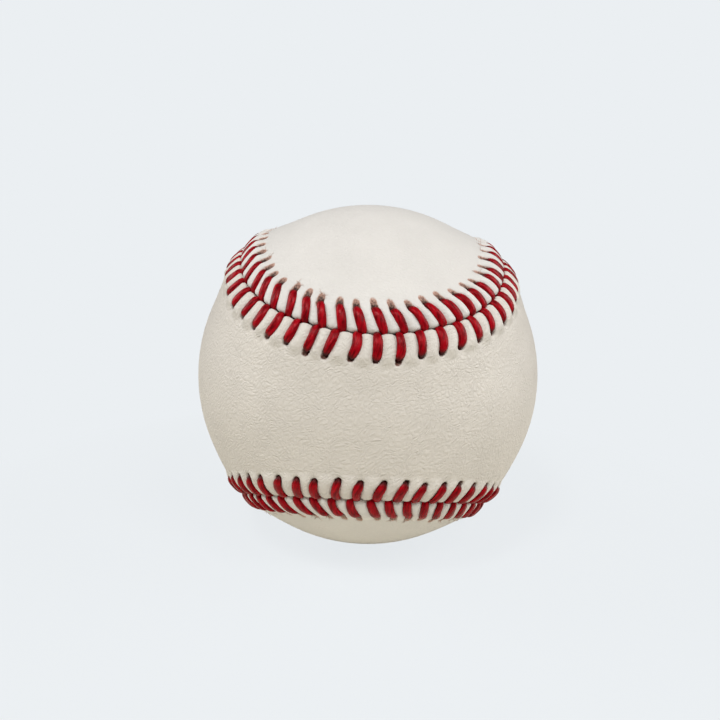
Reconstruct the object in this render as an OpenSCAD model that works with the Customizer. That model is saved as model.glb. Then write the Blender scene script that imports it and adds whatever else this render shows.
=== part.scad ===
// A leather baseball, built up from the cork centre to the laced cover.
// The origin is the middle of the ball. X points right, Y away from the front and Z up.
// Each cover panel has two round lobes joined by a neck. The seam between the panels is made
// of four circles, one round each lobe, joined by four straight flanks (great circles).
// The side panel has its lobes at the left and right and its neck at the front.
// The end panel is the same shape, with its lobes at the top and bottom and its neck at the back.

/* [Core] */
// Diameter of the cork centre
cork_d = 20.64; // [18:0.01:24]
// Thickness of the black rubber half shells round the cork
half_shell_t = 3.97; // [2.5:0.01:5.5]
// Thickness of the washer between the rims of the two half shells
washer_t = 1.2; // [0.6:0.1:3]
// Thickness of the red rubber cushion round the half shells
cushion_t = 2.38; // [1.2:0.01:4]

/* [Windings] */
// Thickness of the first winding, grey four-ply wool
first_winding_t = 14.68; // [12.5:0.01:17]
// Thickness of the second winding, white three-ply wool
second_winding_t = 1.75; // [1:0.05:3]
// Thickness of the third winding, grey three-ply wool
third_winding_t = 2; // [1:0.05:3]
// Thickness of the finishing winding, fine white cotton yarn
finish_winding_t = 0.6; // [0.5:0.05:1.2]
// Depth that the lacing presses into the finishing winding
yarn_press = 0.42; // [0.3:0.01:0.45]

/* [Cover] */
// Thickness of the cover leather
leather_t = 1.2; // [1:0.05:1.6]
// Width across a round lobe of a panel, from seam to seam
lobe_w = 51.3; // [49:0.1:53]
// Width across the neck of a panel, from seam to seam
neck_w = 31.4; // [28:0.1:34]
// Gap between the edges of the two panels
seam_gap = 0.3; // [0.2:0.05:0.5]
// Leather that stays raised outside the row of holes
hole_margin = 0.7; // [0.4:0.1:1.5]

/* [Stitches] */
// Number of double stitches round the whole seam
stitches = 108; // [96:4:116]
// Thickness of the waxed lacing thread
thread_d = 1.1; // [0.9:0.05:1.2]
// Clearance round the thread in its holes and slots
thread_play = 0.05; // [0.03:0.01:0.08]
// Distance from the seam to the row of holes on each side
hole_row = 4.6; // [4:0.1:5.5]
// Distance that a hole lies behind the point of its stitch, along the seam
stitch_slant = 1.1; // [0.5:0.1:1.6]
// Depth that a thread on the outside sinks into the raised leather
thread_sink = 0.5; // [0.4:0.05:0.75]
// Length cut off each corner where a thread turns into a hole
thread_bend = 0.45; // [0.3:0.05:0.6]
// Sides of a lacing thread's cross-section
thread_sides = 5; // [5:1:6]

/* [Hidden] */

// Radii of the layers, from the inside outwards
cork_r = cork_d / 2;
half_shell_r = cork_r + half_shell_t;
cushion_r = half_shell_r + cushion_t;
first_r = cushion_r + first_winding_t;
second_r = first_r + second_winding_t;
third_r = second_r + third_winding_t;
finish_r = third_r + finish_winding_t;
ball_r = finish_r + leather_t;

// The lacing under the leather lifts it along the seam
seam_rise = thread_d + 2 * thread_play - yarn_press;
ridge_r = ball_r + seam_rise;
ridge_inner_r = ridge_r - leather_t;
// Corners of the thread's middle line, over the leather and under it
over_r = ridge_r + thread_d / 2 - thread_sink;
under_r = ridge_inner_r - thread_play - thread_d / 2;
slot_half = thread_d / 2 + thread_play;
hole_r = thread_d / 2 + 2 * thread_play;
// Past everything, for cutting tools
reach = over_r + thread_d;

// Degrees of arc on the ball for a length along its surface
function arc(len) = len / ball_r * 180 / PI;

// Half angles of a lobe and of a neck, seen from the middle of the ball
lobe_ang = asin(lobe_w / 2 / ball_r);
neck_ang = asin(neck_w / 2 / ball_r);
// How far the middle of a lobe leans away from the panel's neck
tilt = 90 - lobe_ang - neck_ang;
// How far a flank leans, so that it touches both of its lobe circles
half_root = sqrt(1 / 2);
flank_lean = atan2(sin(tilt), half_root * cos(tilt))
    - acos(sin(lobe_ang) / sqrt(pow(sin(tilt), 2) + pow(cos(tilt), 2) / 2));
// Half the length of a flank and half the turn of a lobe's circle, in degrees
flank_half = acos(half_root * cos(tilt) / cos(lobe_ang));
lobe_half = atan2(half_root * cos(flank_lean),
    half_root * cos(flank_lean) * sin(tilt) - sin(flank_lean) * cos(tilt));
// The plane through the middle of the ball and both ends of a lobe's circle
chord_ang = tilt + atan(tan(lobe_ang) * cos(lobe_half));
// A quarter of the seam, and the step between stitches, in degrees of arc on the ball
quarter = 2 * flank_half + 2 * lobe_half * sin(lobe_ang);
pitch = 4 * quarter / stitches;
pitch_len = pitch / arc(1);
// Threads that pass side by side through the seam clear each other under the leather too
run_ang = atan((pitch_len - stitch_slant + thread_d) / hole_row);
thread_lay = (thread_d + thread_play) / cos(run_ang);

// Half widths of the raised leather, and of the space for the lacing under it
ridge_half = hole_row + thread_d / 2 + hole_margin;
space_half = hole_row + thread_d / 2 + thread_play;

// A point of the seam in its first quarter, and the direction of travel there
function flank_point(v) = [
    half_root * (cos(v) - sin(v) * sin(flank_lean)),
    sin(v) * cos(flank_lean),
    half_root * (cos(v) + sin(v) * sin(flank_lean))
];
function flank_way(v) = [
    half_root * (-sin(v) - cos(v) * sin(flank_lean)),
    cos(v) * cos(flank_lean),
    half_root * (-sin(v) + cos(v) * sin(flank_lean))
];
function lobe_turn(v) = lobe_half - (v - flank_half) / sin(lobe_ang);
function lobe_point(a) = [
    cos(lobe_ang) * cos(tilt) - sin(lobe_ang) * cos(a) * sin(tilt),
    cos(lobe_ang) * sin(tilt) + sin(lobe_ang) * cos(a) * cos(tilt),
    sin(lobe_ang) * sin(a)
];
function lobe_way(a) = [-sin(a) * sin(tilt), sin(a) * cos(tilt), -cos(a)];
function flipped(p) = [p.x, p.y, -p.z];
function first_point(v) =
    v < flank_half ? flank_point(v)
    : v > quarter - flank_half ? flipped(flank_point(quarter - v))
    : lobe_point(lobe_turn(v));
function first_way(v) =
    v < flank_half ? flank_way(v)
    : v > quarter - flank_half ? -flipped(flank_way(quarter - v))
    : lobe_way(lobe_turn(v));
// The other quarters are the first one, turned about Y and mirrored in turn
function turned(p, q) = q == 0 ? p : turned([p.z, -p.y, -p.x], q - 1);
function quarter_at(u) = floor(u / quarter);
function seam_point(u) = turned(first_point(u - quarter * quarter_at(u)), quarter_at(u) % 4);
function seam_way(u) = turned(first_way(u - quarter * quarter_at(u)), quarter_at(u) % 4);

// Direction of a place beside the seam: u along it in degrees, w across it as a length,
// above zero towards the side panel
function beside(u, w) =
    seam_point(u) * cos(arc(w)) + cross(seam_way(u), seam_point(u)) * sin(arc(w));
function stitch_u(k) = (k + 1) * pitch;
function hole_way(k, side) = beside(stitch_u(k) - arc(stitch_slant), side * hole_row);
function dive_u(k, side) = stitch_u(k) - arc(side * thread_lay / 2);
function dive_way(k, side) = seam_point(dive_u(k, side));

// Puts a lobe's work at lobe q, which is on the side panel where q is even
module at_lobe(q) {
    mirror([0, q % 2, 0])
        rotate([0, 90 * q, 0])
            children();
}

// Turns Z to the middle of the first lobe
module lobe_frame() {
    rotate([0, 0, tilt])
        rotate([90, 0, 90])
            children();
}

// Turns X to the middle of the first flank and Y along it, with Z across it into the end panel
module flank_frame() {
    rotate([0, -45, 0])
        rotate([flank_lean, 0, 0])
            children();
}

// Everything below the XY plane
module lower_half() {
    translate([-2 * reach, -2 * reach, -3 * reach])
        cube([4 * reach, 4 * reach, 3 * reach]);
}

// The side of the first flank where the first lobe is, and a distance w past the flank
module flank_side(w) {
    flank_frame()
        translate([0, 0, ball_r * sin(arc(w))])
            lower_half();
}

// The space under the first lobe and between its flanks, and a distance w past the seam.
// The cone is a shade wide, so that it meets the flanks inside the gap between the panels.
module lobe_region(w) {
    lobe_frame()
        cylinder(h = reach, r1 = 0, r2 = reach * tan(lobe_ang + arc(w + seam_gap / 4)));
    intersection() {
        flank_side(w);
        mirror([0, 0, 1])
            flank_side(w);
        rotate([0, 0, chord_ang])
            rotate([-90, 0, 0])
                lower_half();
    }
}

// The space under the side panel, short of the seam by a distance back
module panel_region(back) {
    difference() {
        rotate([-90, 0, 0])
            lower_half();
        at_lobe(1) lobe_region(back);
        at_lobe(3) lobe_region(back);
    }
    at_lobe(0) lobe_region(-back);
    at_lobe(2) lobe_region(-back);
}

module shell(outer_r, inner_r) {
    difference() {
        sphere(outer_r);
        sphere(inner_r);
    }
}

// The leather of the side panel, raised along the seam and hollow under the raised part
module cover_leather() {
    difference() {
        intersection() {
            sphere(ridge_r);
            panel_region(seam_gap / 2);
        }
        difference() {
            panel_region(ridge_half);
            sphere(ball_r);
        }
        difference() {
            sphere(ridge_inner_r);
            panel_region(space_half);
        }
        sphere(finish_r);
    }
}

function unit(v) = v / norm(v);

// A round hole through the leather towards the middle of the ball
module thread_hole(way) {
    rotate([0, acos(way.z), atan2(way.y, way.x)])
        translate([0, 0, third_r])
            cylinder(h = reach - third_r, r = hole_r);
}

// Turns X to direction x and Z to direction z, which is square to it
module turn_to(x, z) {
    y = cross(z, x);
    multmatrix([
        [x.x, y.x, z.x, 0],
        [x.y, y.y, z.y, 0],
        [x.z, y.z, z.z, 0]
    ])
        children();
}

// A square notch in the edges of both panels at a place along the seam
module seam_notch(u) {
    turn_to(seam_way(u), seam_point(u))
        translate([-hole_r, -hole_r, third_r])
            cube([2 * hole_r, 2 * hole_r, reach - third_r]);
}

// A square slot for a straight stretch of thread between two points at the same height
module slot(p, q) {
    translate(p)
        turn_to(unit(q - p), unit(p + q))
            translate([0, -slot_half, -slot_half])
                cube([norm(q - p), 2 * slot_half, thread_d + 2 * slot_half]);
}

// Openings for the lacing in one panel: its row of holes, the notches at the seam, and the
// slots where the threads sink into the leather
module lacing_cuts(side) {
    for (k = [0 : stitches - 1]) {
        thread_hole(hole_way(k, side));
        seam_notch(dive_u(k, 1));
        seam_notch(dive_u(k, -1));
        slot(over_r * hole_way(k, side), over_r * dive_way(k, side));
    }
}

// Stitch k of a thread is on the side where the thread starts if k is even
function side_at(k, first_side) = k % 2 == 0 ? first_side : -first_side;

// Corners of a thread's middle line: up through a hole, over to the seam, and down there
function thread_corners(first_side) = [
    for (k = [0 : stitches - 1])
        each [
            under_r * hole_way(k, side_at(k, first_side)),
            over_r * hole_way(k, side_at(k, first_side)),
            over_r * dive_way(k, side_at(k, first_side)),
            under_r * dive_way(k, side_at(k, first_side))
        ]
];

// The axis of the turn from direction a to direction b, on the side of the seam's direction
function turn_axis(a, b, along) =
    let (axis = cross(a, b))
    norm(axis) < 0.01 ? unit(cross(a, cross(along, a)))
    : axis * along < 0 ? -unit(axis)
    : unit(axis);

// A ring of the thread round p, where it turns from direction a to direction b
function thread_ring(p, a, b, along) =
    let (
        side = turn_axis(a, b, along),
        way = unit(a + b),
        lift = cross(way, side) / (way * a)
    )
    [
        for (j = [0 : thread_sides - 1])
            p + thread_d / 2 * (cos(360 * j / thread_sides) * side + sin(360 * j / thread_sides) * lift)
    ];

// The rings of a thread: two at each corner above the leather, and one at each corner under it
function thread_rings(corners) = [
    for (i = [0 : len(corners) - 1])
        let (
            p = corners[i],
            last = len(corners) - 1,
            along = seam_way(stitch_u(floor(i / 4))),
            a = unit(i == 0 ? corners[1] - p : p - corners[i - 1]),
            b = unit(i == last ? p - corners[i - 1] : corners[i + 1] - p),
            bevel = unit(a + b)
        )
        each (
            i % 4 == 0 || i % 4 == 3 ? [thread_ring(p, a, b, along)]
            : [
                thread_ring(p - thread_bend * a, a, bevel, along),
                thread_ring(p + thread_bend * b, bevel, b, along)
            ]
        )
];

// One thread, which crosses from panel to panel at every stitch
module lacing_thread(first_side) {
    rings = thread_rings(thread_corners(first_side));
    n = thread_sides;
    last = len(rings) - 1;
    color("#be1e2d")
        polyhedron(
            points = [for (ring = rings) each ring],
            faces = concat(
                [[for (j = [0 : n - 1]) j]],
                [
                    for (i = [0 : last - 1], j = [0 : n - 1])
                        each [
                            [n * i + j, n * (i + 1) + j, n * (i + 1) + (j + 1) % n],
                            [n * i + j, n * (i + 1) + (j + 1) % n, n * i + (j + 1) % n]
                        ]
                ],
                [[for (j = [0 : n - 1]) n * last + n - 1 - j]]
            )
        );
}

module cork_core() {
    color("#b98a5a")
        sphere(cork_r);
}

// Half of the black rubber shell, cut back for the washer
module half_shell() {
    color("#262626")
        intersection() {
            shell(half_shell_r, cork_r);
            translate([-half_shell_r, -half_shell_r, washer_t / 2])
                cube([2 * half_shell_r, 2 * half_shell_r, half_shell_r]);
        }
}

module half_shell_upper() {
    half_shell();
}

module half_shell_lower() {
    mirror([0, 0, 1])
        half_shell();
}

module shell_washer() {
    color("#b3332b")
        intersection() {
            shell(half_shell_r, cork_r);
            translate([-half_shell_r, -half_shell_r, -washer_t / 2])
                cube([2 * half_shell_r, 2 * half_shell_r, washer_t]);
        }
}

module cushion_shell() {
    color("#c23b32")
        shell(cushion_r, half_shell_r);
}

module first_winding() {
    color("#8d8d8b")
        shell(first_r, cushion_r);
}

module second_winding() {
    color("#e8e4d8")
        shell(second_r, first_r);
}

module third_winding() {
    color("#8d8d8b")
        shell(third_r, second_r);
}

// The finishing yarn, pressed down in a band under the lacing
module finish_winding() {
    color("#f1eee4")
        difference() {
            shell(finish_r, third_r);
            difference() {
                sphere(reach);
                sphere(finish_r - yarn_press);
                panel_region(space_half);
                at_lobe(1) panel_region(space_half);
            }
        }
}

module cover_panel_side() {
    color("#ebe5da")
        difference() {
            cover_leather();
            lacing_cuts(1);
        }
}

module cover_panel_end() {
    color("#ebe5da")
        difference() {
            at_lobe(1) cover_leather();
            lacing_cuts(-1);
        }
}

// The thread that starts on the side panel
module lacing_thread_leading() {
    lacing_thread(1);
}

// The thread that starts on the end panel
module lacing_thread_trailing() {
    lacing_thread(-1);
}

cork_core();
half_shell_upper();
half_shell_lower();
shell_washer();
cushion_shell();
first_winding();
second_winding();
third_winding();
finish_winding();
cover_panel_side();
cover_panel_end();
lacing_thread_leading();
lacing_thread_trailing();
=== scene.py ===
import math
import random

import bmesh
import bpy
import numpy as np
from mathutils import Matrix, Vector


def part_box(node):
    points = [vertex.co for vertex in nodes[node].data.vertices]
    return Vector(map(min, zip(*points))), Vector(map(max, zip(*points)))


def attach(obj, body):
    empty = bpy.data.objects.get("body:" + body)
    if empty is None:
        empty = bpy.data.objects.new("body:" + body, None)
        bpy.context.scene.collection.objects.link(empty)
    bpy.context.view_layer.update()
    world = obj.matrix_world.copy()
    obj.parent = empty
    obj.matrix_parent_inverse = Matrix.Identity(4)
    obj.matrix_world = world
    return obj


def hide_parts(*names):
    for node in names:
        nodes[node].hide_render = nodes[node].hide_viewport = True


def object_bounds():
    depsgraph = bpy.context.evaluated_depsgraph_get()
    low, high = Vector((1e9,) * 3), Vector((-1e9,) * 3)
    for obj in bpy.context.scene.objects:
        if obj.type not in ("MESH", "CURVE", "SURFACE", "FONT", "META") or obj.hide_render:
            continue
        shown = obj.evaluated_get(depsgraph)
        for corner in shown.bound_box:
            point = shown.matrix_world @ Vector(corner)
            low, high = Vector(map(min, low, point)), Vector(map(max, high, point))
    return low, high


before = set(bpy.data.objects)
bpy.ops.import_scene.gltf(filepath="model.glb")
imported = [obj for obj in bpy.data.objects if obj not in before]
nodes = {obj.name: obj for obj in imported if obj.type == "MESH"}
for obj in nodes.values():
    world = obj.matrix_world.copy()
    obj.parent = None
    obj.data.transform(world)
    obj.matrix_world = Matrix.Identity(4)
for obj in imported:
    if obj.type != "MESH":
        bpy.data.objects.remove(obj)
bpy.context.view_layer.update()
mm = 0.001

# Cork centre. A ball of composition cork, moulded from ground cork and rubber, sits in the
# middle of everything. It stays as the frame has it and gets a finish of pale granules.

cork_granule = 1.6 * mm


class Finish:
    """A material under construction: its nodes, its links and its shader."""

    def __init__(self, name, colour, roughness):
        self.material = bpy.data.materials.new(name)
        self.material.use_nodes = True
        self.tree = self.material.node_tree
        self.shader = self.tree.nodes["Principled BSDF"]
        self.shader.inputs["Base Color"].default_value = (*colour, 1)
        self.shader.inputs["Roughness"].default_value = roughness
        self.place = self.add("ShaderNodeTexCoord").outputs["Object"]

    def add(self, kind, **settings):
        """A new node. A setting is one of its own properties, or else an input's value or link."""
        node = self.tree.nodes.new(kind)
        for name, value in settings.items():
            if hasattr(node, name):
                setattr(node, name, value)
            else:
                self.feed(node.inputs[name.replace("_", " ")], value)
        return node

    def feed(self, socket, value):
        if isinstance(value, bpy.types.NodeSocket):
            self.tree.links.new(value, socket)
        else:
            socket.default_value = value

    def noise(self, size, place=None, **settings):
        """Soft random values whose blotches are about that size across."""
        node = self.add("ShaderNodeTexNoise", Vector=place or self.place, **settings)
        node.inputs["Scale"].default_value = 1 / size
        return node.outputs["Fac"]

    def ramp(self, value, stops):
        """Colours between the stops, a list of (position, colour)."""
        node = self.add("ShaderNodeValToRGB", Fac=value)
        band = node.color_ramp.elements
        while len(band) < len(stops):
            band.new(0.5)
        for element, (position, colour) in zip(band, stops):
            element.position = position
            element.color = (*colour, 1)
        return node.outputs["Color"]

    def mix(self, share, first, second, blend="MIX"):
        node = self.add("ShaderNodeMix", data_type="RGBA", blend_type=blend)
        for socket, value in zip(
            (node.inputs[0], node.inputs[6], node.inputs[7]), (share, first, second)
        ):
            self.feed(socket, (*value, 1) if isinstance(value, tuple) else value)
        return node.outputs[2]

    def maths(self, operation, *values):
        node = self.add("ShaderNodeMath", operation=operation)
        for socket, value in zip(node.inputs, values):
            self.feed(socket, value)
        return node.outputs[0]

    def bump(self, height, depth, strength=1.0):
        """Raises the surface by up to that depth where the height is 1."""
        node = self.add("ShaderNodeBump", Height=height)
        node.inputs["Distance"].default_value = depth
        node.inputs["Strength"].default_value = strength
        if self.shader.inputs["Normal"].links:
            self.tree.links.new(
                self.shader.inputs["Normal"].links[0].from_socket, node.inputs["Normal"]
            )
        self.tree.links.new(node.outputs["Normal"], self.shader.inputs["Normal"])


def dress(finish, *names):
    """Gives a finish to pieces of the frame."""
    for name in names:
        for slot in nodes[name].material_slots:
            slot.material = finish.material


cork = Finish("cork", (0.48, 0.26, 0.11), 0.85)
granules = cork.add(
    "ShaderNodeTexVoronoi", Vector=cork.place, Scale=1 / cork_granule
)
cork.feed(
    cork.shader.inputs["Base Color"],
    cork.ramp(
        granules.outputs["Color"],
        [(0.0, (0.30, 0.14, 0.05)), (0.55, (0.50, 0.28, 0.12)), (1.0, (0.62, 0.40, 0.20))],
    ),
)
cork.bump(granules.outputs["Distance"], 0.2 * mm, 0.5)
dress(cork, "cork_core")

# Rubber shells. Two half shells of black rubber close round the cork on a red rubber washer,
# and a red rubber cushion is moulded over them. They keep the frame's shapes.

black_rubber = Finish("black_rubber", (0.018, 0.018, 0.019), 0.55)
black_rubber.bump(black_rubber.noise(0.5 * mm, Detail=4.0), 0.03 * mm)
dress(black_rubber, "half_shell_upper", "half_shell_lower")

red_rubber = Finish("red_rubber", (0.32, 0.028, 0.022), 0.5)
red_rubber.bump(red_rubber.noise(0.6 * mm, Detail=4.0), 0.03 * mm)
dress(red_rubber, "shell_washer", "cushion_shell")

# Windings. Grey wool, white wool, grey wool again and a last layer of fine white cotton are
# wound on in every direction. Each keeps the frame's shell, with its yarn as crossing ridges.

yarn_patch = 14 * mm


def yarn(name, colour, shade, yarn_width):
    """Wound yarn: ridges of that width that run three ways, each over a part of the ball, with
    painted shade in the grooves between them.
    """
    finish = Finish(name, colour, 0.9)
    ridges = None
    for turn in ((0.3, 0.2, 0.1), (1.2, 0.4, 0.9), (0.5, 1.3, 2.0)):
        spun = finish.add("ShaderNodeMapping", Vector=finish.place, Rotation=turn)
        bands = finish.add(
            "ShaderNodeTexWave",
            Vector=spun.outputs[0],
            Scale=math.pi / 10 / yarn_width,
            Distortion=1.5,
            Detail=1.0,
        ).outputs["Fac"]
        where = finish.noise(yarn_patch, spun.outputs[0])
        patch = finish.ramp(where, [(0.46, (0, 0, 0)), (0.5, (1, 1, 1))])
        ridges = bands if ridges is None else finish.mix(patch, ridges, bands)
    # Between the ridges the yarn is painted darker: painted shade in the grooves.
    finish.feed(
        finish.shader.inputs["Base Color"], finish.ramp(ridges, [(0.1, shade), (0.7, colour)])
    )
    finish.bump(ridges, 0.35 * yarn_width)
    finish.shader.inputs["Sheen Weight"].default_value = 0.3
    return finish


dress(yarn("grey_wool", (0.24, 0.24, 0.235), (0.08, 0.08, 0.08), 1.1 * mm), "first_winding")
dress(yarn("white_wool", (0.76, 0.72, 0.62), (0.36, 0.33, 0.27), 0.9 * mm), "second_winding")
dress(yarn("fine_grey_wool", (0.25, 0.25, 0.245), (0.08, 0.08, 0.08), 0.8 * mm), "third_winding")
dress(yarn("cotton_yarn", (0.82, 0.80, 0.74), (0.45, 0.43, 0.38), 0.4 * mm), "finish_winding")

# Cover leather. Two panels, each a figure eight with round lobes and a narrow neck, are cut
# from white hide and pulled over the windings until their edges meet in one long seam. The
# lacing under their edges lifts them there, and they puff up between the threads.

leather_thickness = 1.2 * mm
lobe_width = 51.3 * mm
neck_width = 31.4 * mm
seam_rise = 0.62 * mm
rise_towards_top = 0.44 * mm
arch = 0.35 * mm
arch_width = 6.0 * mm
ridge_inner = 4.2 * mm
ridge_outer = 13.0 * mm
edge_gap = 0.06 * mm
edge_round = 0.7 * mm
puff = 0.50 * mm
puff_towards_top = 0.30 * mm
thread_trough = 0.35 * mm
trough_width = 0.95 * mm
pillow_end = 6.4 * mm
pillow_slope = 2.2 * mm
pinch = 0.32 * mm
pinch_width = 1.5 * mm
slit_back = 0.4 * mm
slit_lean = 0.24
slit_fade = 0.6
slits_end = 7.3 * mm
band_width = 13.1 * mm
columns_per_stitch = 18

ball_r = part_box("finish_winding")[1].x + leather_thickness


def seam_plan():
    """Angles that fix the seam: each lobe's circle, its lean, and the straight flanks between."""
    lobe = math.asin(lobe_width / 2 / ball_r)
    neck = math.asin(neck_width / 2 / ball_r)
    tilt = math.pi / 2 - lobe - neck
    half_root = math.sqrt(0.5)
    lean = math.atan2(math.sin(tilt), half_root * math.cos(tilt)) - math.acos(
        math.sin(lobe) / math.sqrt(math.sin(tilt) ** 2 + math.cos(tilt) ** 2 / 2)
    )
    flank = math.acos(half_root * math.cos(tilt) / math.cos(lobe))
    turn = math.atan2(
        half_root * math.cos(lean),
        half_root * math.cos(lean) * math.sin(tilt) - math.sin(lean) * math.cos(tilt),
    )
    return lobe, tilt, lean, flank, turn


lobe_angle, lobe_tilt, flank_lean, flank_half, lobe_turn = seam_plan()
quarter = ball_r * (2 * flank_half + 2 * lobe_turn * math.sin(lobe_angle))
seam_length = 4 * quarter
stitches = 108
pitch = seam_length / stitches


def seam_frames(s):
    """Directions from the middle of the ball to places along the seam, and of travel there."""
    arc = np.asarray(s, float) / ball_r
    span = quarter / ball_r
    quarters = np.floor(arc / span).astype(int) % 4
    v = arc - span * np.floor(arc / span)
    tail = v > span - flank_half
    f = np.where(tail, span - v, v)
    sign = np.where(tail, -1.0, 1.0)
    h, sl, cl = math.sqrt(0.5), math.sin(flank_lean), math.cos(flank_lean)
    flank_place = [
        h * (np.cos(f) - np.sin(f) * sl),
        np.sin(f) * cl,
        sign * h * (np.cos(f) + np.sin(f) * sl),
    ]
    flank_way = [
        sign * h * (-np.sin(f) - np.cos(f) * sl),
        sign * np.cos(f) * cl,
        h * (-np.sin(f) + np.cos(f) * sl),
    ]
    a = lobe_turn - (v - flank_half) / math.sin(lobe_angle)
    sa, ca = math.sin(lobe_angle), math.cos(lobe_angle)
    st, ct = math.sin(lobe_tilt), math.cos(lobe_tilt)
    lobe_place = [ca * ct - sa * np.cos(a) * st, ca * st + sa * np.cos(a) * ct, sa * np.sin(a)]
    lobe_way = [-np.sin(a) * st, np.sin(a) * ct, -np.cos(a)]
    on_flank = (v < flank_half) | tail
    place = np.stack([np.where(on_flank, x, y) for x, y in zip(flank_place, lobe_place)], -1)
    way = np.stack([np.where(on_flank, x, y) for x, y in zip(flank_way, lobe_way)], -1)
    for turn in (1, 2, 3):
        turned = quarters >= turn
        for vectors in (place, way):
            vectors[turned] = vectors[turned][:, ::-1] * (1, -1, -1)
    return place, way


def beside_seam(s, w):
    """Directions to places a distance w beside the seam, above zero on the side panel."""
    place, way = seam_frames(s)
    across = np.cross(way, place)
    angle = np.asarray(w, float)[..., None] / ball_r
    return place * np.cos(angle) + across * np.sin(angle)


random.seed(7)
hole_lag = 1.1 * mm
thread_bow = 0.3 * mm


def uneven(most):
    """A small random difference, as hand lacing leaves."""
    return [random.uniform(-most, most) for _ in range(stitches)]


class Row:
    """One panel's row of stitches. At each pitch of the seam a thread leaves its hole, which is a
    little before that place and reach away from the seam, and dives at the seam, lead after it."""

    def __init__(self, side, reach, lead, slit, slit_half, slit_depth, frayed, thread_half):
        base = np.arange(1, stitches + 1) * pitch
        self.side = side
        self.slit_half = slit_half
        self.slit_depth = slit_depth
        self.frayed = frayed
        self.thread_half = thread_half
        self.dive = base + lead + np.array(uneven(0.14 * mm))
        self.hole = base - hole_lag + np.array(uneven(0.35 * mm))
        self.reach = reach + np.array(uneven(0.22 * mm))
        self.slit = slit + np.array(uneven(0.35 * mm))
        self.bow = thread_bow + np.array(uneven(0.2 * mm))

    def path(self, k, share):
        """Place along the seam of thread k, from the seam (share 0) to its hole (share 1)."""
        bowed = self.bow[k] * 4 * share * (1 - share)
        return self.dive[k] + (self.hole[k] - self.dive[k]) * share + bowed


# The side panel's holes are short and deep. The end panel's are torn longer, and frayed is the
# share of them with loose fibres.
side_row = Row(
    side=1,
    reach=4.45 * mm,
    lead=-0.62 * mm,
    slit=0.85 * mm,
    slit_half=0.52 * mm,
    slit_depth=0.9 * mm,
    frayed=0,
    thread_half=0.92 * mm,
)
end_row = Row(
    side=-1,
    reach=4.45 * mm,
    lead=0.62 * mm,
    slit=2.0 * mm,
    slit_half=0.74 * mm,
    slit_depth=0.32 * mm,
    frayed=0.4,
    thread_half=0.91 * mm,
)


def ease(x):
    """From 0 to 1, with a soft start and end."""
    x = np.clip(x, 0, 1)
    return x * x * (3 - 2 * x)


def seam_lift(s):
    """Height of the raised leather at the seam, which grows towards the top of the ball."""
    return seam_rise + rise_towards_top * seam_frames(s)[0][..., 2]


def pillow_height(s):
    """Height of the leather pillows between the threads, which grows towards the top too."""
    return puff + puff_towards_top * seam_frames(s)[0][..., 2]


def arch_height(w):
    """Height of the bulge that the leather has between the seam and the holes."""
    return arch * np.sin(np.pi * np.clip(w / arch_width, 0, 1))


def ridge_height(s, w):
    """Height of the raised leather over the plain ball, without the threads' troughs."""
    lifted = ease((ridge_outer - w) / (ridge_outer - ridge_inner)) ** 1.3
    return seam_lift(s) * lifted + arch_height(w)


def trough_share(row, s, w):
    """1 under the middle of a thread, and 0 away from the threads."""
    trough = np.zeros_like(s)
    nearest = np.rint(s / pitch).astype(int) - 1
    for step in (-1, 0, 1):
        k = (nearest + step) % stitches
        away = s - row.path(k, np.clip(w / row.reach[k], 0, 1))
        away = (away + seam_length / 2) % seam_length - seam_length / 2
        trough = trough + np.exp(-((away / trough_width) ** 2))
    return np.clip(trough, 0, 1)


def slit_share(row, s, w):
    """1 inside a torn hole, less towards the hole's outer end, and 0 on whole leather."""
    inside = np.zeros_like(s)
    nearest = np.rint(s / pitch).astype(int) - 1
    for step in (-1, 0, 1):
        k = (nearest + step) % stitches
        past = w - row.reach[k]
        off = s - row.hole[k] + slit_lean * past
        off = (off + seam_length / 2) % seam_length - seam_length / 2
        along = np.clip(past, -slit_back, row.slit[k] - row.slit_half)
        share = ease((1.25 - np.hypot(past - along, off) / row.slit_half) / 0.5)
        inside = np.maximum(inside, share * (1 - slit_fade * np.clip(past / row.slit[k], 0, 1)))
    return inside


def pinched(row, s, w):
    """Distance from the seam of a place near the edge, which the threads pull back."""
    return w + pinch * trough_share(row, s, 0 * w) * np.clip(1 - w / pinch_width, 0, 1)


def leather_height(row, s, w):
    """Height of the leather's outside over the plain ball, and how far it is inside a slit."""
    trough = trough_share(row, s, w)
    inside = slit_share(row, s, w)
    stitched = ease((pillow_end - w) / pillow_slope)
    padded = pillow_height(s) * (1 - trough) - thread_trough * trough
    return ridge_height(s, w) + stitched * padded - row.slit_depth * inside, inside


def shaped_grid(mesh, columns, rows_across, place, marks):
    """Adds a grid. For the corners' columns and rows, place gives where each corner goes, and
    then its value of each mark."""
    made = bmesh.ops.create_grid(mesh, x_segments=columns, y_segments=rows_across, size=0.5)
    corners = made["verts"]
    i = np.rint([(v.co.x + 0.5) * columns for v in corners])
    j = np.rint([(v.co.y + 0.5) * rows_across for v in corners])
    places, *values = place(i, j)
    for corner, at in zip(corners, places):
        corner.co = at
    for mark, valued in zip(marks, values):
        for corner, value in zip(corners, valued):
            corner[mark] = value


fibre_half = 0.05 * mm
fibre_rings = 4
fibre_sides = 4
fibre_tone = 0.34


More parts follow.
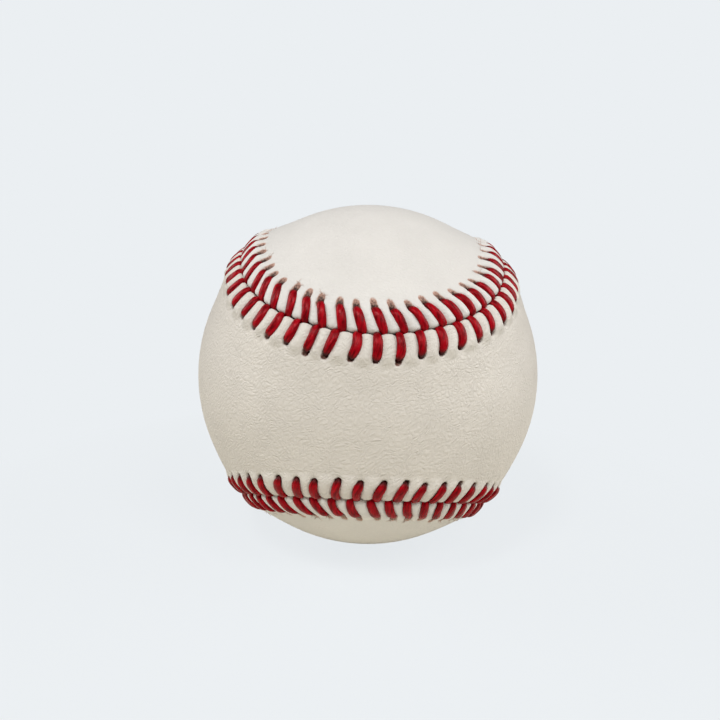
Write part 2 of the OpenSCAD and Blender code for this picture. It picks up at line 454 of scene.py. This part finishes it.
def loose_fibres(mesh, row, marks):
    """Adds the fibres of torn hide that stand out round some of a row's holes."""
    for k in range(stitches):
        if random.random() > row.frayed:
            continue
        for _ in range(random.randint(4, 7)):
            way = random.choice((-1, 1))
            past = random.uniform(0.3, 1.0) * row.slit[k]
            heading = math.radians(random.uniform(0, 75))
            length = random.uniform(0.4, 1.1) * mm
            curl = random.uniform(-0.4, 0.4) * mm
            lifted = random.uniform(0, 0.3) * mm
            t = np.linspace(0, 1, fibre_rings)
            s = row.hole[k] - slit_lean * past + way * 0.45 * row.slit_half
            s = s + way * length * math.cos(heading) * t + curl * t * t
            w = row.reach[k] + past + length * math.sin(heading) * t
            out = beside_seam(s, row.side * w)
            height = leather_height(row, s, w)[0] + fibre_half + lifted * t * t
            centre = out * (ball_r + height)[:, None]
            aside = np.cross(out, np.gradient(centre, axis=0))
            aside /= np.linalg.norm(aside, axis=1)[:, None]
            half = fibre_half * (1 - 0.5 * t)

            def place(i, j):
                i = i.astype(int)
                angle = 2 * math.pi * j / fibre_sides
                spread = aside[i] * np.cos(angle)[:, None] + out[i] * np.sin(angle)[:, None]
                return centre[i] + spread * half[i][:, None], fibre_tone + 0 * angle

            shaped_grid(mesh, fibre_rings - 1, fibre_sides, place, marks)


def finished_piece(name, mesh, finish, node):
    """Makes the object of a piece that stands for a node of the frame."""
    data = bpy.data.meshes.new(name)
    mesh.to_mesh(data)
    mesh.free()
    data.materials.append(finish.material)
    data.shade_smooth()
    piece = bpy.data.objects.new(name, data)
    bpy.context.scene.collection.objects.link(piece)
    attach(piece, "root")
    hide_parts(node)
    return piece


def cover_panel(name, row, middle, axis, finish, node):
    """One panel. Its long middle line passes the seam's place middle, and its halves mirror
    each other across the axis."""
    columns = stitches * columns_per_stitch
    # Across the stitched band: distance from the seam, and depth under the leather's outside
    wall = [(edge_gap, leather_thickness)]
    for step in range(6):
        angle = math.pi / 2 * step / 5
        wall.append(
            (edge_gap + edge_round * (1 - math.cos(angle)), edge_round * (1 - math.sin(angle)))
        )
    start = wall[-1][0]
    fine = [start + (slits_end - start) * step / 24 for step in range(1, 25)]
    coarse = [slits_end + (band_width - slits_end) * step / 6 for step in range(1, 7)]
    profile = wall + [(w, 0.0) for w in fine + coarse]
    widths = np.array([w for w, _ in profile])
    drops = np.array([drop for _, drop in profile])

    def band_top(i, j):
        j = j.astype(int)
        s = middle + i * pitch / columns_per_stitch
        height, inside = leather_height(row, s, widths[j])
        out = beside_seam(s, row.side * pinched(row, s, widths[j]))
        return out * (ball_r + height - drops[j])[:, None], inside

    under = [edge_gap, 3.5 * mm, 6.5 * mm, 9.5 * mm, band_width]

    def band_under(i, j):
        w = np.array(under)[j.astype(int)]
        s = middle + i * pitch / columns_per_stitch
        height = ridge_height(s, w)
        height = np.where(j == 0, leather_height(row, s, w)[0], height)
        out = beside_seam(s, row.side * np.where(j == 0, pinched(row, s, w), w))
        return out * (ball_r + height - leather_thickness)[:, None], s * 0

    def middle_part(radius, rungs_across):
        def place(i, j):
            s = middle + i * pitch / columns_per_stitch
            out = beside_seam(s, row.side * band_width + s * 0)
            height = np.arcsin(out[:, axis]) * (1 - 2 * j / rungs_across)
            flat = out.copy()
            flat[:, axis] = 0
            flat /= np.linalg.norm(flat, axis=1)[:, None]
            out = flat * np.cos(height)[:, None]
            out[:, axis] = np.sin(height)
            return out * radius, s * 0

        return place

    mesh = bmesh.new()
    marks = [mesh.verts.layers.float.new("slit")]
    shaped_grid(mesh, columns, len(profile) - 1, band_top, marks)
    shaped_grid(mesh, columns, len(under) - 1, band_under, marks)
    shaped_grid(mesh, columns // 2, 12, middle_part(ball_r, 12), marks)
    shaped_grid(mesh, columns // 2, 5, middle_part(ball_r - leather_thickness, 5), marks)
    loose_fibres(mesh, row, marks)
    bmesh.ops.remove_doubles(mesh, verts=mesh.verts, dist=0.0002 * mm)
    fibre_ends = [edge for edge in mesh.edges if edge.is_boundary]
    bmesh.ops.holes_fill(mesh, edges=fibre_ends, sides=fibre_sides)
    bmesh.ops.recalc_face_normals(mesh, faces=mesh.faces)
    return finished_piece(name, mesh, finish, node)


grain_size = 0.72 * mm
wrinkle_width = 0.41 * mm
wrinkle_stretch = 1.7
wrinkle_turn = (0, -0.6, 0)
wander_size = 4 * mm
wander_reach = 3.0 * mm
tone_size = 9 * mm
valley_shade = 0.25
fray_size = 0.4 * mm
raggedness = 0.9


def leather(name, hide_colour, grain_depth, slit_shade_colour, slit_rim):
    """White tanned hide with small pebbles drawn out into wrinkles, painted dark inside its slits
    as shade in the holes.
    """
    finish = Finish(name, hide_colour, 0.52)
    wander = finish.add(
        "ShaderNodeTexNoise", Vector=finish.place, Scale=1 / wander_size, Detail=2.0
    )
    warped = finish.add("ShaderNodeVectorMath", operation="MULTIPLY_ADD")
    finish.feed(warped.inputs[0], wander.outputs["Color"])
    warped.inputs[1].default_value = (wander_reach,) * 3
    finish.feed(warped.inputs[2], finish.place)
    drawn = finish.add("ShaderNodeMapping", vector_type="TEXTURE", Vector=warped.outputs[0])
    drawn.inputs["Rotation"].default_value = wrinkle_turn
    drawn.inputs["Scale"].default_value = (wrinkle_stretch, 1, 1)
    wrinkles = finish.noise(wrinkle_width, drawn.outputs[0], Detail=1.5)
    finish.bump(wrinkles, grain_depth)
    cells = finish.add(
        "ShaderNodeTexVoronoi",
        feature="DISTANCE_TO_EDGE",
        Vector=drawn.outputs[0],
        Scale=1 / grain_size,
    ).outputs["Distance"]
    grain = finish.ramp(cells, [(0.0, (0, 0, 0)), (0.40, (1, 1, 1))])
    finish.bump(grain, 0.5 * grain_depth)
    darker = tuple(0.965 * c for c in hide_colour)
    paler = tuple(1.02 * c for c in hide_colour)
    hide = finish.ramp(finish.noise(tone_size, Detail=3.0), [(0.3, darker), (0.7, paler)])
    valley = 1 - valley_shade * grain_depth / mm
    shaded = finish.ramp(grain, [(0.0, (valley,) * 3), (1.0, (1, 1, 1))])
    hide = finish.mix(1.0, hide, shaded, "MULTIPLY")
    slit = finish.add("ShaderNodeAttribute", attribute_name="slit").outputs["Fac"]
    fray = finish.noise(fray_size, Detail=3.0)
    fray = finish.maths("MULTIPLY_ADD", fray, 2 * raggedness, -raggedness)
    ragged = finish.maths("MULTIPLY", fray, finish.maths("MINIMUM", slit, 0.6))
    torn = finish.maths("ADD", slit, ragged)
    near_slit = finish.ramp(torn, [(0.10, (0, 0, 0)), (0.45, (1, 1, 1))])
    # Deep inside a slit the hide is painted near black: painted shade in the hole. The rim round
    # it is the torn hide's brown.
    in_slit = finish.ramp(torn, [(0.40, (0, 0, 0)), (0.90, (1, 1, 1))])
    edged = finish.mix(near_slit, hide, slit_rim)
    finish.feed(finish.shader.inputs["Base Color"], finish.mix(in_slit, edged, slit_shade_colour))
    finish.shader.inputs["Specular IOR Level"].default_value = 0.35
    return finish


# The side panel's hide is set a little darker and yellower than the end panel's. This is partly
# the hides' own difference and partly painted shade on the front and middle of the ball.
side_leather = leather(
    "cover_leather_side",
    hide_colour=(0.755, 0.711, 0.652),
    grain_depth=0.14 * mm,
    # Painted shade inside the side panel's slits. Their dark brown rim is partly torn hide and
    # partly painted shade.
    slit_shade_colour=(0.050, 0.020, 0.015),
    slit_rim=(0.20, 0.09, 0.065),
)
end_leather = leather(
    "cover_leather_end",
    hide_colour=(0.767, 0.743, 0.710),
    grain_depth=0.09 * mm,
    # Painted shade inside the end panel's slits. Their tan rim is the torn hide's own colour.
    slit_shade_colour=(0.042, 0.015, 0.010),
    slit_rim=(0.54, 0.320, 0.245),
)
cover_panel(
    "leather_side",
    side_row,
    middle=0.5 * quarter,
    axis=2,
    finish=side_leather,
    node="cover_panel_side",
)
cover_panel(
    "leather_end",
    end_row,
    middle=1.5 * quarter,
    axis=0,
    finish=end_leather,
    node="cover_panel_end",
)

# Lacing threads. Two waxed red cotton threads, each twisted from two plies, lace the panels
# together. A thread comes up through a hole, crosses to the seam and dives there, runs under
# the other panel to its next hole, and so changes panel at every stitch.

thread_half_height = 0.50 * mm
thread_leg = 0.46 * mm
arm_over_ridge = 0.26 * mm
ring_sides = 14
rings_over = 22
rings_under = 6
ply_groove = 0.18
ply_turns = 0.35
# The thread is painted darker near its hole end, under the leather and in its ply grooves: painted
# shade.
shaded_end_share = 0.11
ply_groove_shade = 0.08
fibre_width = 0.28 * mm
fibre_stretch = 7

leg_length = leather_thickness + thread_leg + arm_over_ridge

# Share of the way from hole to seam, and height as a share between the under-run and the top
over_route = [
    (-0.02, 0.0),
    (-0.03, 0.35),
    (0.0, 0.62),
    (0.07, 0.84),
    (0.16, 0.95),
    (0.3, 1.0),
    (0.5, 1.0),
    (0.75, 0.98),
    (0.90, 0.90),
    (0.98, 0.66),
    (1.0, 0.35),
    (1.0, 0.0),
]


def smooth_route(points, count):
    """A curve through the points, at even steps along it."""
    knots = np.array(points, float)
    padded = np.vstack([2 * knots[0] - knots[1], knots, 2 * knots[-1] - knots[-2]])
    curve = []
    for p0, p1, p2, p3 in zip(padded, padded[1:], padded[2:], padded[3:]):
        for t in np.linspace(0, 1, 12, endpoint=False):
            bend = (2 * p0 - 5 * p1 + 4 * p2 - p3) * t * t + (3 * p1 - p0 - 3 * p2 + p3) * t**3
            curve.append(0.5 * (2 * p1 + (p2 - p0) * t + bend))
    curve = np.array(curve + [knots[-1]])
    scaled = curve * (side_row.reach.mean(), leg_length)
    length = np.concatenate([[0], np.cumsum(np.linalg.norm(np.diff(scaled, axis=0), axis=1))])
    steps = np.linspace(0, length[-1], count)
    return np.stack([np.interp(steps, length, curve[:, axis]) for axis in (0, 1)], -1)


def lacing_thread(name, first, second, finish, node):
    """One whole thread, which starts on the first row."""
    over = smooth_route(over_route, rings_over)
    centre, width, height, spin, dark = [], [], [], [], []
    turned = 0.0
    for k in range(stitches):
        row = (first, second)[k % 2]
        share = 1 - over[:, 0]
        s = row.path(k, np.clip(share, 0, 1))
        w = row.side * row.reach[k] * share
        top = seam_lift(s) + arch_height(np.abs(w)) + arm_over_ridge
        rise = top - leg_length * (1 - over[:, 1])
        centre.append(beside_seam(s, w) * (ball_r + rise)[:, None])
        fuller = 0.82 + 0.18 * np.sin(np.pi * np.clip(over[:, 0], 0, 1))
        flat = ease((over[:, 1] - 0.45) / 0.5) * fuller
        width.append(thread_leg + (row.thread_half - thread_leg) * flat)
        height.append(thread_leg + (thread_half_height - thread_leg) * flat)
        # Painted shade on the last stretch before the thread goes into its hole
        dark.append(ease(1.15 - over[:, 0] / shaded_end_share))
        spin.append(turned + 2 * math.pi * ply_turns * np.linspace(0, 1, rings_over))
        turned += 2 * math.pi * ply_turns
        if k == stitches - 1:
            break
        following = (first, second)[(k + 1) % 2]
        t = np.linspace(0, 1, rings_under + 2)[1:-1]
        s = row.dive[k] + (following.hole[k + 1] - row.dive[k]) * t
        w = following.side * following.reach[k + 1] * t
        rise = seam_lift(s) + arch_height(np.abs(w)) + arm_over_ridge - leg_length
        centre.append(beside_seam(s, w) * (ball_r + rise)[:, None])
        width.append(thread_leg + 0 * t)
        height.append(thread_leg + 0 * t)
        # Painted shade where the thread runs under the leather
        dark.append(1 + 0 * t)
        spin.append(turned + 0.5 * math.pi * t)
        turned += 0.5 * math.pi
    centre = np.concatenate(centre)
    width, height, spin, dark = (np.concatenate(x) for x in (width, height, spin, dark))
    rings = len(centre)
    travelled = np.concatenate([[0], np.cumsum(np.linalg.norm(np.diff(centre, axis=0), axis=1))])
    along = np.gradient(centre, axis=0)
    along /= np.linalg.norm(along, axis=1)[:, None]
    stitch_of = np.repeat(np.arange(stitches), rings_over + rings_under)[:rings]
    sideways = seam_frames((stitch_of + 1) * pitch)[1]
    sideways -= along * np.sum(sideways * along, axis=1)[:, None]
    sideways /= np.linalg.norm(sideways, axis=1)[:, None]
    upward = np.cross(along, sideways)

    def place(i, j):
        i = i.astype(int)
        angle = 2 * math.pi * j / ring_sides
        twisted = angle - spin[i]
        groove = np.abs(np.sin(twisted)) ** 6
        size = 1 - ply_groove * groove
        at = (
            centre[i]
            + sideways[i] * (width[i] * np.cos(angle) * size)[:, None]
            + upward[i] * (height[i] * np.sin(angle) * size)[:, None]
        )
        strand = [np.cos(twisted) * thread_leg, np.sin(twisted) * thread_leg, travelled[i]]
        # The ply grooves get painted shade too
        return at, np.maximum(dark[i], ply_groove_shade * groove), np.stack(strand, -1)

    mesh = bmesh.new()
    marks = [mesh.verts.layers.float.new("thread_shade"), mesh.verts.layers.float_vector.new("strand")]
    shaped_grid(mesh, rings - 1, ring_sides, place, marks)
    bmesh.ops.remove_doubles(mesh, verts=mesh.verts, dist=0.004 * mm)
    ends = [edge for edge in mesh.edges if edge.is_boundary]
    bmesh.ops.holes_fill(mesh, edges=ends, sides=ring_sides)
    bmesh.ops.recalc_face_normals(mesh, faces=mesh.faces)
    return finished_piece(name, mesh, finish, node)


waxed_thread = Finish("red_thread", (0.25, 0.002, 0.006), 0.27)
in_thread = waxed_thread.add("ShaderNodeAttribute", attribute_name="strand").outputs["Vector"]
lengthwise = waxed_thread.add("ShaderNodeVectorMath", operation="MULTIPLY")
waxed_thread.feed(lengthwise.inputs[0], in_thread)
lengthwise.inputs[1].default_value = (1, 1, 1 / fibre_stretch)
fibres = waxed_thread.noise(fibre_width, lengthwise.outputs[0], Detail=3.0, Roughness=0.6)
waxed_thread.bump(fibres, 0.11 * mm)
waxed_thread.bump(waxed_thread.noise(0.5 * mm, Detail=4.0), 0.04 * mm)
# The streaks run from dark to light red. This is partly the fibres' own tone and partly painted
# sheen along the thread.
red = waxed_thread.ramp(fibres, [(0.36, (0.125, 0.001, 0.003)), (0.64, (0.42, 0.003, 0.010))])
# Painted shade: the thread is mixed towards dark red where it is marked
thread_shade = waxed_thread.add("ShaderNodeAttribute", attribute_name="thread_shade").outputs["Fac"]
waxed_thread.feed(
    waxed_thread.shader.inputs["Base Color"], waxed_thread.mix(thread_shade, red, (0.045, 0.006, 0.006))
)
waxed_thread.shader.inputs["Specular IOR Level"].default_value = 0.22
waxed_thread.shader.inputs["Specular Tint"].default_value = (1.0, 0.30, 0.32, 1)
lacing_thread("thread_leading", side_row, end_row, waxed_thread, "lacing_thread_leading")
lacing_thread("thread_trailing", end_row, side_row, waxed_thread, "lacing_thread_trailing")

# Studio. Pale paper that runs on into an even backdrop, two lamps high in front, one at each
# side, and a camera at the photograph's angle. The paper throws a warm light back on the ball
# from near by and less from farther off, and keeps the ball's own shadow.

paper_colour = (0.831, 0.863, 0.888)
paper_half = 1.5
shadow_reach = 0.11
evenness = 0.91
bounce_colour = (0.78, 0.75, 0.65)
far_colour = (0.36, 0.35, 0.31)
bounce_reach = 0.12
bounce_fade = 0.12

floor_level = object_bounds()[0].z - 0.05 * mm
paper = Finish("paper", paper_colour, 1.0)
paper.shader.inputs["Specular IOR Level"].default_value = 0.0
to_camera = paper.add("ShaderNodeLightPath").outputs["Is Camera Ray"]
even = paper.add("ShaderNodeEmission", Color=(*paper_colour, 1), Strength=1.0)
distance = paper.add("ShaderNodeVectorMath", operation="LENGTH")
paper.feed(distance.inputs[0], paper.place)
fade = paper.maths("MULTIPLY_ADD", distance.outputs["Value"], 1 / shadow_reach, 0.0)
far_share = paper.add("ShaderNodeMapRange", Value=distance.outputs["Value"])
far_share.inputs["From Min"].default_value = bounce_reach
far_share.inputs["From Max"].default_value = bounce_reach + bounce_fade
bounce = paper.mix(far_share.outputs["Result"], bounce_colour, far_colour)
paper.feed(paper.shader.inputs["Base Color"], paper.mix(to_camera, bounce, paper_colour))
even_share = paper.maths("MINIMUM", paper.maths("MAXIMUM", fade, evenness), 1.0)
share = paper.maths("MULTIPLY", even_share, to_camera)
blended = paper.add("ShaderNodeMixShader")
paper.feed(blended.inputs[0], share)
paper.feed(blended.inputs[1], paper.shader.outputs[0])
paper.feed(blended.inputs[2], even.outputs[0])
paper.feed(paper.tree.nodes["Material Output"].inputs["Surface"], blended.outputs[0])
sheet = bmesh.new()
bmesh.ops.create_grid(sheet, x_segments=1, y_segments=1, size=paper_half)
bmesh.ops.translate(sheet, verts=sheet.verts, vec=(0, 0, floor_level))
floor_mesh = bpy.data.meshes.new("paper")
sheet.to_mesh(floor_mesh)
sheet.free()
floor_mesh.materials.append(paper.material)
floor = bpy.data.objects.new("paper", floor_mesh)
bpy.context.scene.collection.objects.link(floor)


def soft_lamp(name, place, power, size, colour=(1, 1, 1)):
    """A square lamp that faces the ball."""
    data = bpy.data.lights.new(name, "AREA")
    data.energy = power
    data.size = size
    data.color = colour
    lamp = bpy.data.objects.new(name, data)
    lamp.location = place
    lamp.rotation_euler = Vector(place).to_track_quat("Z", "Y").to_euler()
    bpy.context.scene.collection.objects.link(lamp)


soft_lamp("key_lamp", (-0.2, -0.45, 0.6), 2.95, 0.15, (1.0, 0.99, 0.97))
soft_lamp("fill_lamp", (0.3, -0.45, 0.6), 1.95, 0.25, (1.0, 0.99, 0.97))
soft_lamp("left_lamp", (-0.6, 0.1, 0.3), 1.7, 0.4)
soft_lamp("right_lamp", (0.6, 0.05, 0.25), 1.85, 0.4)

room_light = (0.12, 0.12, 0.12)
world = bpy.data.worlds.new("studio")
bpy.context.scene.world = world
world.use_nodes = True
sky = world.node_tree
shown = sky.nodes.new("ShaderNodeLightPath").outputs["Is Camera Ray"]
backdrop = sky.nodes.new("ShaderNodeMix")
backdrop.data_type = "RGBA"
sky.links.new(shown, backdrop.inputs[0])
backdrop.inputs[6].default_value = (*room_light, 1)
backdrop.inputs[7].default_value = (*paper_colour, 1)
sky.links.new(backdrop.outputs[2], sky.nodes["Background"].inputs["Color"])

# The photograph's camera: the ball's half width, its centre in pixels and how it is turned
camera_distance = 5 * ball_r
ball_pixels = 169.6
ball_centre = (367.9, 374.4)
photo_side = 720
ball_roll = math.radians(2.35)
ball_tilt = math.radians(14.02)
ball_swing = math.radians(0.25)
turn = (
    Matrix.Rotation(ball_swing, 3, "Z")
    @ Matrix.Rotation(ball_roll, 3, "Y")
    @ Matrix.Rotation(ball_tilt, 3, "X")
)
look = turn.transposed()
camera_data = bpy.data.cameras.new("camera")
focal_pixels = ball_pixels * math.sqrt(camera_distance**2 - ball_r**2) / ball_r
camera_data.lens = camera_data.sensor_width * focal_pixels / photo_side
camera_data.shift_x = (photo_side / 2 - ball_centre[0]) / photo_side
camera_data.shift_y = (ball_centre[1] - photo_side / 2) / photo_side
camera_data.clip_start = 0.01
camera = bpy.data.objects.new("camera", camera_data)
right, forward, up = (look @ Vector(v) for v in ((1, 0, 0), (0, 1, 0), (0, 0, 1)))
camera.matrix_world = Matrix.Translation(forward * -camera_distance) @ Matrix(
    (right, up, -forward)
).transposed().to_4x4()
bpy.context.scene.collection.objects.link(camera)
bpy.context.scene.camera = camera
bpy.context.scene.view_settings.view_transform = "Standard"
